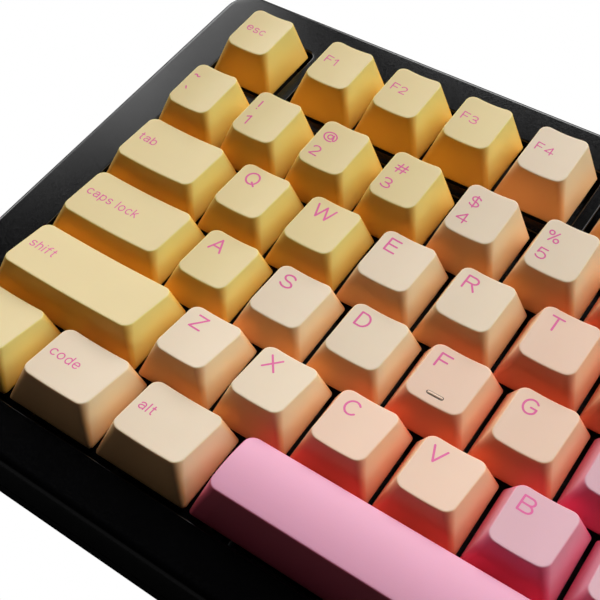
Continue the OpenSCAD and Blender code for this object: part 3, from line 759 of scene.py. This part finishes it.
def spread(tree, value, low, high):
    """The noise's middle range, stretched to run from low to high."""
    return add_node(tree, "MapRange", {
        "Value": value, "From Min": 0.3, "From Max": 0.7, "To Min": low,
        "To Max": high}).outputs["Result"]


def arithmetic(tree, operation, *values):
    """A maths node's result from numbers and outputs."""
    node = add_node(tree, "Math")
    node.operation = operation
    feed(tree, node, dict(enumerate(values)))
    return node.outputs[0]


def mix_colours(tree, factor, a, b):
    """A mix of two colours, each four numbers or an output."""
    mixer = add_node(tree, "Mix")
    mixer.data_type = "RGBA"
    feed(tree, mixer, {"Factor": factor, 6: a, 7: b})
    return mixer.outputs[2]


def bump(tree, height, strength, distance):
    return add_node(tree, "Bump", {
        "Height": height, "Strength": strength,
        "Distance": distance}).outputs["Normal"]


def linear(colour):
    """Linear values, and a 1, of a display colour given from 0 to 255."""
    def one(c):
        c /= 255
        return c / 12.92 if c <= 0.04045 else ((c + 0.055) / 1.055) ** 2.4
    return (*(one(c) for c in colour), 1)


def plastic(name, light, dark, rough, grain, bump_depth, specular=0.5, mottle=60.0):
    """Moulded plastic: two close display colours in soft mottling, a fine grain."""
    material, tree, bsdf = node_tree(name)
    patches = spread(tree, noise(tree, mottle, 4), 0, 1)
    fine = noise(tree, grain, 2)
    feed(tree, bsdf, {
        "Base Color": mix_colours(tree, patches, linear(light), linear(dark)),
        "Roughness": spread(tree, fine, rough - 0.05, rough + 0.05),
        "Specular IOR Level": specular,
        "Normal": bump(tree, fine, 0.3, bump_depth)})
    return material


def metal(name, light, dark, rough, scale):
    """Bare metal with fine brushed streaks between two display colours."""
    material, tree, bsdf = node_tree(name)
    streaks = noise(tree, scale, 5, 0.6)
    mixed = mix_colours(tree, spread(tree, streaks, 0, 1), linear(light), linear(dark))
    feed(tree, bsdf, {
        "Base Color": mixed,
        "Roughness": spread(tree, streaks, rough - 0.08, rough + 0.08),
        "Metallic": 1.0,
        "Normal": bump(tree, streaks, 0.2, 2e-5)})
    return material


def front_back_painted_shade(tree, tone):
    """The painted shade, made deeper on faces that look to the front or the back, where
    little light falls.
    """
    facing = add_node(tree, "NewGeometry").outputs["Normal"]
    split = add_node(tree, "SeparateXYZ", {0: facing})
    size = arithmetic(tree, "ABSOLUTE", split.outputs["Y"])
    deeper = arithmetic(tree, "MULTIPLY_ADD", size, 0.9, 1.0)
    return arithmetic(tree, "MULTIPLY", tone, deeper)


def cap_plastic(name, top, side, foot):
    """Keycap plastic in its own colour as lit and shaded copies: paler on top with painted
    light and sheen, painted shade deeper down the sides and at the foot; satin,
    fine-grained, a little translucent."""
    material, tree, bsdf = node_tree(name)
    tone = add_node(tree, "Attribute")
    tone.attribute_name = "tone"
    # A ramp from the paler, lit top through painted shade on the sides to the deepest
    # painted shade at the foot
    shade_ramp = add_node(tree, "ValToRGB", {
        "Fac": front_back_painted_shade(tree, tone.outputs["Fac"])})
    ramp = shade_ramp.color_ramp.elements
    ramp[0].position, ramp[0].color = 0.0, (*top, 1)
    ramp[1].position, ramp[1].color = 1.0, (*foot, 1)
    middle = ramp.new(0.5)
    middle.color = (*side, 1)
    cloud = spread(tree, noise(tree, 90.0, 3), 0, 0.05)
    grain = noise(tree, 4200.0, 2)
    feed(tree, bsdf, {
        "Base Color": mix_colours(tree, cloud, shade_ramp.outputs["Color"], (0.5, 0.3, 0.2, 1)),
        "Roughness": spread(tree, grain, 0.42, 0.54),
        "Specular IOR Level": 0.45,
        "Subsurface Weight": 0.12,
        "Subsurface Radius": (1.0, 0.5, 0.25),
        "Subsurface Scale": 0.0006,
        "Normal": bump(tree, grain, 0.35, 3e-5)})
    return material


# Linear colours of each keycap as lit and shaded copies: the top paler with painted light,
# painted shade down the sides and at the foot
CAP_LIT_AND_SHADED = {
    "cap_lemon": ((0.82, 0.66, 0.335), (0.9, 0.78, 0.245), (0.95, 0.515, 0.07)),
    "cap_cream": ((0.84, 0.69, 0.51), (0.93, 0.765, 0.475), (1.0, 0.53, 0.21)),
    "cap_peach": ((0.88, 0.62, 0.465), (0.96, 0.62, 0.375), (1.0, 0.3, 0.145)),
    "cap_pink": ((0.74, 0.43, 0.49), (0.78, 0.34, 0.42), (0.95, 0.14, 0.26)),
    "cap_orchid": ((0.83, 0.385, 0.54), (0.88, 0.26, 0.4), (0.9, 0.12, 0.2)),
}
CAPS = [cap_plastic(name, *colours) for name, colours in CAP_LIT_AND_SHADED.items()]
INK = plastic("legend_ink", (230, 97, 158), (224, 90, 152), 0.5, 4000.0, 1e-5)
STEM = plastic("stem_plastic", (196, 60, 40), (180, 50, 34), 0.4, 1500.0, 1e-5)
# A dark line of painted shade round the homing bars
HOMING_SHADE = plastic("homing_painted_shade", (58, 44, 38), (50, 38, 32), 0.5, 4000.0, 1e-5)
CASE = plastic("case_black", (5, 5, 6), (3, 3, 4), 0.2, 2600.0, 3e-6, 0.35, 25.0)
KNOB = metal("knob_black", (60, 60, 62), (44, 44, 46), 0.35, (90, 90, 4000))


# ---- keys
def build_keys():
    """One piece for each node's keycaps, sliders, stems and legends."""
    for node in dict.fromkeys(key[0] for key in LAYOUT):
        shell = Shell()
        mine = [k for k in LAYOUT if k[0] == node]
        tints = sorted({k[5] for k in mine})
        marks = {t: i for i, t in enumerate(tints)}
        ink, stem = len(tints), len(tints) + 1
        for _, row, x, width, legend, tint in mine:
            cap, centre = add_cap(shell, row, x, width, marks[tint])
            add_stems(shell, cap, centre, marks[tint], stem)
            add_legend(shell, cap, centre, legend, ink)
            if legend in ("F", "J"):
                add_homing_bar(shell, cap, centre, marks[tint], stem + 1)
        obj = shell.object("cap_" + node, [CAPS[t] for t in tints] + [INK, STEM, HOMING_SHADE],
                           node)
        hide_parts(node)


build_keys()


# ---- case
# Thickness of the walls, height of the seam between the halves, radius of the corners
WALL, SEAM_Z, CASE_R = 4.0, 8.0, 7.0
# Between keycaps and case, and the radius of the openings' corners
KEY_GAP, OPENING_R = 0.75, 2.2
# Widths of the rounded edges outside and around the openings
FLAT_INSET, INNER_EDGE = 1.7, 0.5
# The plug recess: width, height, and its middle along the case and over the plate
RECESS_W, RECESS_H, SOCKET_X, SOCKET_Z = 13.0, 7.4, 47.6, PLATE_Z - 3.4
SHAFT_R = 3.8


def plate_from_plan(xy, z):
    """Points of the plate frame at height z over plan points of the world, all mm."""
    x = xy[:, 0] - ORIGIN[0]
    y = (xy[:, 1] - ORIGIN[1] + z * math.sin(TILT)) / math.cos(TILT)
    return raised(np.column_stack([x, y]), z)


def to_mm_world(points):
    return world(points) / MM


def lifted(line, z):
    """A flat line of the plate frame at height z, in world mm."""
    return to_mm_world(raised(line, z))


def plan_line(inset, radius):
    """The case's outline seen from above, moved inwards."""
    return outline(rectangle(-CASE_W / 2 + inset, CASE_W / 2 - inset,
                             -CASE_D / 2 + inset, CASE_D / 2 - inset), radius, 8,
                   [6, 3, 6, 3])


def opening_polygons():
    """The openings for the keys as (corners, radii)."""
    g, u = KEY_GAP, UNIT
    top, home, low, bottom = 0.5 * u + g, -2.5 * u, -3.5 * u - g, -4.5 * u - g
    main = [(-g, bottom), (13 * u + g, bottom), (13 * u + g, low),
            (13.25 * u - g, low), (13.25 * u - g, bottom), (16.25 * u + g, bottom),
            (16.25 * u + g, top), (15.25 * u - g, top), (15.25 * u - g, home + g),
            (15 * u + g, home + g), (15 * u + g, top), (-g, top)]
    r, s = OPENING_R, 0.5
    out = [(main, [r, r, s, s, r, r, r, r, s, s, r, r])]
    for x0, x1 in ((0, 1), (1.25, 5.25), (5.5, 9.5), (9.75, 13.75), (14, 15)):
        out.append((rectangle(x0 * u - g, x1 * u + g, 0.75 * u - g, 1.75 * u + g), [r] * 4))
    return out


def opening_line(polygon, radii, grow):
    """The opening's line moved outwards by grow."""
    pts = np.asarray(polygon, float)
    n, moved, r = len(pts), [], []
    for i in range(n):
        a, p, b = pts[i - 1], pts[i], pts[(i + 1) % n]
        d1, d2 = unit(p - a), unit(b - p)
        out1, out2 = np.array([d1[1], -d1[0]]), np.array([d2[1], -d2[0]])
        moved.append(p + (out1 + out2) * grow)
        turn = d1[0] * d2[1] - d1[1] * d2[0]
        r.append(radii[i] + grow if turn > 0 else max(0.08, radii[i] - grow))
    return outline(moved, r, 5, [8] * n)


def shaft_hole(grow):
    return disc(SHAFT_R + grow, 0, 48)[:, :2] + (KNOB_X, ROW_Y[F])


def fill_flat(outer, holes):
    """Triangles of the region between an outer line and holes, as (points, faces)."""
    lines = [outer, *holes]
    points = np.concatenate(lines)
    edges, first = [], 0
    for line in lines:
        n = len(line)
        edges += [(first + j, first + (j + 1) % n) for j in range(n)]
        first += n
    got = delaunay_2d_cdt([Vector(p) for p in points], edges, [], 0, 1e-6)
    verts = np.array([v[:] for v in got[0]])
    faces = []
    for f in got[2]:
        c = verts[list(f)].mean(0)
        if inside(c, outer) and not any(inside(c, h) for h in holes):
            faces.append(tuple(f))
    return verts, faces


def inside(p, line):
    """Whether a closed line goes round a point."""
    x, y = line[:, 0], line[:, 1]
    x2, y2 = np.roll(x, -1), np.roll(y, -1)
    crossing = (y > p[1]) != (y2 > p[1])
    with np.errstate(divide="ignore", invalid="ignore"):
        at = x + (p[1] - y) / (y2 - y) * (x2 - x)
    return bool(np.count_nonzero(crossing & (p[0] < at)) % 2)


def add_flat(shell, outer, holes, z, flip=False):
    """A flat face of the plate frame between lines at height z, added in world mm."""
    verts, faces = fill_flat(outer, holes)
    first = shell.add(lifted(verts, z))
    for f in faces:
        a, b, c = verts[list(f)]
        up = (b - a)[0] * (c - a)[1] - (b - a)[1] * (c - a)[0] > 0
        corners = f if up != flip else f[::-1]
        shell.face([first + i for i in corners])


def add_walls(shell):
    """The case's walls from the ceiling inside, round the seam and up to the flat rim.
    Returns the plan lines of the rim and of the ceiling."""
    flat = plate_from_plan(plan_line(FLAT_INSET, CASE_R - FLAT_INSET + 0.3), RIM_Z)
    ceiling = plate_from_plan(plan_line(WALL, CASE_R - WALL), PLATE_Z)

    def wall(inset, z=None):
        line = plate_from_plan(plan_line(inset, CASE_R - inset), RIM_Z)
        line = to_mm_world(line)
        if z is not None:
            line[:, 2] = z
        return line
    corner = wall(0)
    wall_top = corner - (0, 0, 1.9)
    walls = [slope_line(wall(0, SEAM_Z + 0.35), wall_top, t) for t in (0, 0.03, 0.5, 0.96)]
    fillet = conic(wall_top, corner, to_mm_world(flat), 9, 0.74)
    shell.rings([to_mm_world(ceiling), wall(WALL, SEAM_Z), wall(0.3, SEAM_Z), *walls,
                 *fillet])
    return flat[:, :2], ceiling[:, :2]


def add_openings(shell):
    """The openings' edges and walls. Returns their lines in the rim and in the ceiling."""
    above, below = [], []
    for polygon, radii in opening_polygons():
        rim = opening_line(polygon, radii, INNER_EDGE)
        edge = opening_line(polygon, radii, 0)
        curve = conic(lifted(rim, RIM_Z), lifted(edge, RIM_Z),
                      lifted(edge, RIM_Z - INNER_EDGE), 6, 0.71)
        shell.rings(curve + [lifted(edge, z) for z in (-0.2, -3.0, PLATE_Z + 0.2, PLATE_Z)])
        above.append(rim)
        below.append(edge)
    bore = [(0.25, RIM_Z), (0.07, RIM_Z - 0.07), (0, RIM_Z - 0.25), (0, PLATE_Z)]
    shell.rings([lifted(shaft_hole(grow), z) for grow, z in bore])
    return above + [shaft_hole(0.25)], below + [shaft_hole(0)]


def build_top_case():
    shell = Shell()
    flat, ceiling = add_walls(shell)
    above, below = add_openings(shell)
    add_flat(shell, flat, above, RIM_Z)
    add_flat(shell, ceiling, below, PLATE_Z, flip=True)
    obj = shell.object("case_top", [CASE], None, to_world=False)
    cut_recess(obj)
    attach(obj, "case")
    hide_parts("top_case")
    weighted = obj.modifiers.new("weighted", "WEIGHTED_NORMAL")
    weighted.keep_sharp = True


def cut_recess(obj):
    """Cuts the plug recess through the back wall."""
    half_w, half_h = RECESS_W / 2, RECESS_H / 2
    section = outline(rectangle(-half_w, half_w, -half_h, half_h), half_h - 0.01, 8,
                      [2, 0, 2, 0])
    outside, inside_case = 49.0, 39.0
    shell = Shell()
    shell.solid([np.column_stack([SOCKET_X + section[:, 0], np.full(len(section), y),
                                  SOCKET_Z + section[:, 1]])
                 for y in (outside, inside_case)])
    cutter = shell.object("cutter", [CASE], None)
    modifier = obj.modifiers.new("recess", "BOOLEAN")
    modifier.operation, modifier.object, modifier.solver = "DIFFERENCE", cutter, "EXACT"
    bpy.context.view_layer.update()
    graph = bpy.context.evaluated_depsgraph_get()
    mesh = bpy.data.meshes.new_from_object(obj.evaluated_get(graph))
    obj.modifiers.clear()
    obj.data = mesh
    mesh.shade_smooth()
    mesh.set_sharp_from_angle(angle=math.radians(35))
    bpy.data.objects.remove(cutter)


build_top_case()


# ---- knob
# The knob's outline from the hole in its foot to the middle of its top: radius, height
# over the rim's gap, depth of the ridges
KNOB_PROFILE = [
    (3.1, 1.5, 0), (7.4, 1.5, 0), (7.4, 0, 0), (8.6, 0, 0), (8.8, 0.2, 0), (8.8, 1.2, 0),
    (9.0, 1.4, 0), (9.0, 1.6, 0.3), (9.0, 6.0, 0.3), (9.0, 10.4, 0.3), (9.0, 10.7, 0),
    (9.0, 11.4, 0), (8.9, 11.75, 0), (8.65, 12.1, 0), (8.3, 12.35, 0), (7.9, 12.5, 0),
    (7.3, 12.5, 0), (7.2, 12.42, 0), (6.9, 12.25, 0), (4.0, 12.2, 0), (1.0, 12.18, 0)]
KNOB_GAP, KNOB_RIDGES = 0.7, 60


def build_knob():
    """A ridged knob with a small coloured dot at the back of its top."""
    shell = Shell()
    a = circle(KNOB_RIDGES * 4)
    centre = np.array([KNOB_X, ROW_Y[F], RIM_Z + KNOB_GAP])
    ridge = 0.5 - 0.5 * np.cos(KNOB_RIDGES * a)
    round_once = np.column_stack([np.cos(a), np.sin(a)])
    shell.solid([raised(round_once * (radius - groove * ridge)[:, None], z) + centre
                 for radius, z, groove in KNOB_PROFILE])
    dot = [disc(0.8, 12.3, 16), disc(0.7, 12.36, 16), disc(0.3, 12.37, 16)]
    shell.solid([d + (centre + (0, 5.2, 0)) for d in dot], 1)
    obj = shell.object("knob_cap", [KNOB, INK], "knob", sharp=40)
    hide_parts("knob")


build_knob()


# ---- carried-over parts
def dress_all():
    """New materials for the parts that keep their CAD shape."""
    steel = metal("wire_steel", (120, 121, 124), (98, 99, 102), 0.42, 900.0)
    parts = {
        "bottom_case": CASE,
        "switch_plate": metal("plate_metal", (58, 58, 60), (46, 46, 48), 0.45,
                              (30, 900, 900)),
        "circuit_board": plastic("board", (18, 48, 30), (12, 38, 24), 0.5, 900.0, 1e-5),
        "switch_housings": plastic("switch_plastic", (46, 44, 44), (38, 37, 37), 0.45,
                                   1500.0, 1e-5),
        "switch_springs": metal("spring_metal", (212, 176, 96), (190, 150, 76), 0.3,
                                (200, 200, 2400)),
        "switch_leds": plastic("led_lens", (240, 236, 222), (230, 226, 210), 0.3, 1200.0,
                               1e-5),
        "stabilizer_housings": plastic("stabilizer_plastic", (44, 44, 48), (36, 36, 40),
                                       0.5, 1500.0, 1e-5),
        "cable_socket": metal("socket_steel", (200, 202, 206), (178, 180, 184), 0.3,
                              (60, 60, 1200)),
        "case_screws": metal("screw_steel", (120, 120, 124), (96, 96, 100), 0.35, 1400.0),
        "rubber_feet": plastic("foot_rubber", (26, 26, 26), (20, 20, 20), 0.8, 1800.0,
                               5e-5),
        "encoder_body": metal("encoder_metal", (150, 152, 156), (130, 132, 136), 0.4,
                              700.0),
        "encoder_shaft": metal("shaft_metal", (186, 188, 192), (160, 162, 166), 0.3,
                               (50, 50, 1500)),
        "wire_space": steel, "wire_shift": steel, "wire_enter": steel,
        "wire_backspace": steel,
    }
    for node, material in parts.items():
        slots = frame["nodes"][node].data.materials
        slots.clear()
        slots.append(material)


dress_all()


# ---- stage
FLOOR_HALF = 3000.0


def build_floor():
    """A plain pale floor, large enough to fill the view. It is white to look at, and darker
    in the light that it throws back, as the photograph's keys and case show it."""
    shell = Shell()
    side = np.linspace(-FLOOR_HALF, FLOOR_HALF, 24)
    x, y = np.meshgrid(side, side, indexing="ij")
    shell.grid(np.dstack([x, y, np.zeros_like(x)]))
    material, tree, bsdf = node_tree("pale_floor")
    cloud = spread(tree, noise(tree, 1.3, 2), 0, 1)
    grey = mix_colours(tree, cloud, (0.13, 0.13, 0.13, 1), (0.12, 0.12, 0.12, 1))
    feed(tree, bsdf, {"Base Color": grey, "Roughness": 0.9})
    glow = add_node(tree, "Emission", {"Strength": 1.0})
    path = add_node(tree, "LightPath")
    mixer = add_node(tree, "MixShader", {
        0: path.outputs["Is Camera Ray"], 1: bsdf.outputs[0], 2: glow.outputs[0]})
    feed(tree, tree.nodes["Material Output"], {"Surface": mixer.outputs[0]})
    floor = shell.object("floor", [material], None, to_world=False)


AIM, REACH = Vector((-0.1, 0, 0.03)), 1.2


def area_light(name, azimuth, elevation, size, power):
    """A soft panel that looks at AIM from REACH metres off. Azimuths run from straight
    behind, positive to the right."""
    a, e = math.radians(azimuth), math.radians(elevation)
    way = Vector((math.sin(a) * math.cos(e), math.cos(a) * math.cos(e), math.sin(e)))
    data = bpy.data.lights.new(name, "AREA")
    data.shape, data.size, data.size_y = "RECTANGLE", size[0], size[1]
    data.energy = power
    light = placed(name, data)
    light.location = AIM + way * REACH
    light.rotation_mode = "QUATERNION"
    light.rotation_quaternion = (-way).to_track_quat("-Z", "Y")


# Name, azimuth, elevation, size in metres, power in watts
PANEL = (0.6, 0.45)
LIGHTS = [
    ("left_panel", -62, 20, PANEL, 1.9),
    ("far_left_panel", -85, 24, PANEL, 3.27),
    ("left_box", -50, 30, (0.3, 0.3), 1.72),
    ("high_left_box", -50, 42, (0.25, 0.25), 0.28),
    ("left_edge_box", -60, 38, (0.25, 0.25), 0.42),
    ("back_panel", -15, 30, PANEL, 5.87),
    ("right_panel", 50, 30, PANEL, 4.03),
    ("high_right_panel", 40, 52, PANEL, 6.26),
]


def build_lights():
    """The panels, and a world that is white to look at but gives almost no light."""
    for values in LIGHTS:
        area_light(*values)
    studio = bpy.data.worlds.new("studio")
    studio.use_nodes = True
    tree = studio.node_tree
    path = add_node(tree, "LightPath")
    level = arithmetic(tree, "MULTIPLY_ADD", path.outputs["Is Camera Ray"], 0.998, 0.002)
    feed(tree, tree.nodes["Background"], {"Color": (1, 1, 1, 1), "Strength": level})
    bpy.context.scene.world = studio


def build_camera():
    """The camera that was fitted to the keys in the photograph."""
    data = bpy.data.cameras.new("camera")
    data.sensor_width, data.lens = 36.0, 66.033
    data.clip_start, data.clip_end = 0.01, 20
    camera = placed("camera", data)
    camera.location = (-0.0022663, -0.1352177, 0.2044085)
    camera.rotation_euler = [math.radians(v) for v in (41.47374, 0.29055, 35.06277)]
    bpy.context.scene.camera = camera


build_floor()
build_lights()
build_camera()
bpy.context.scene.view_settings.view_transform = "Standard"
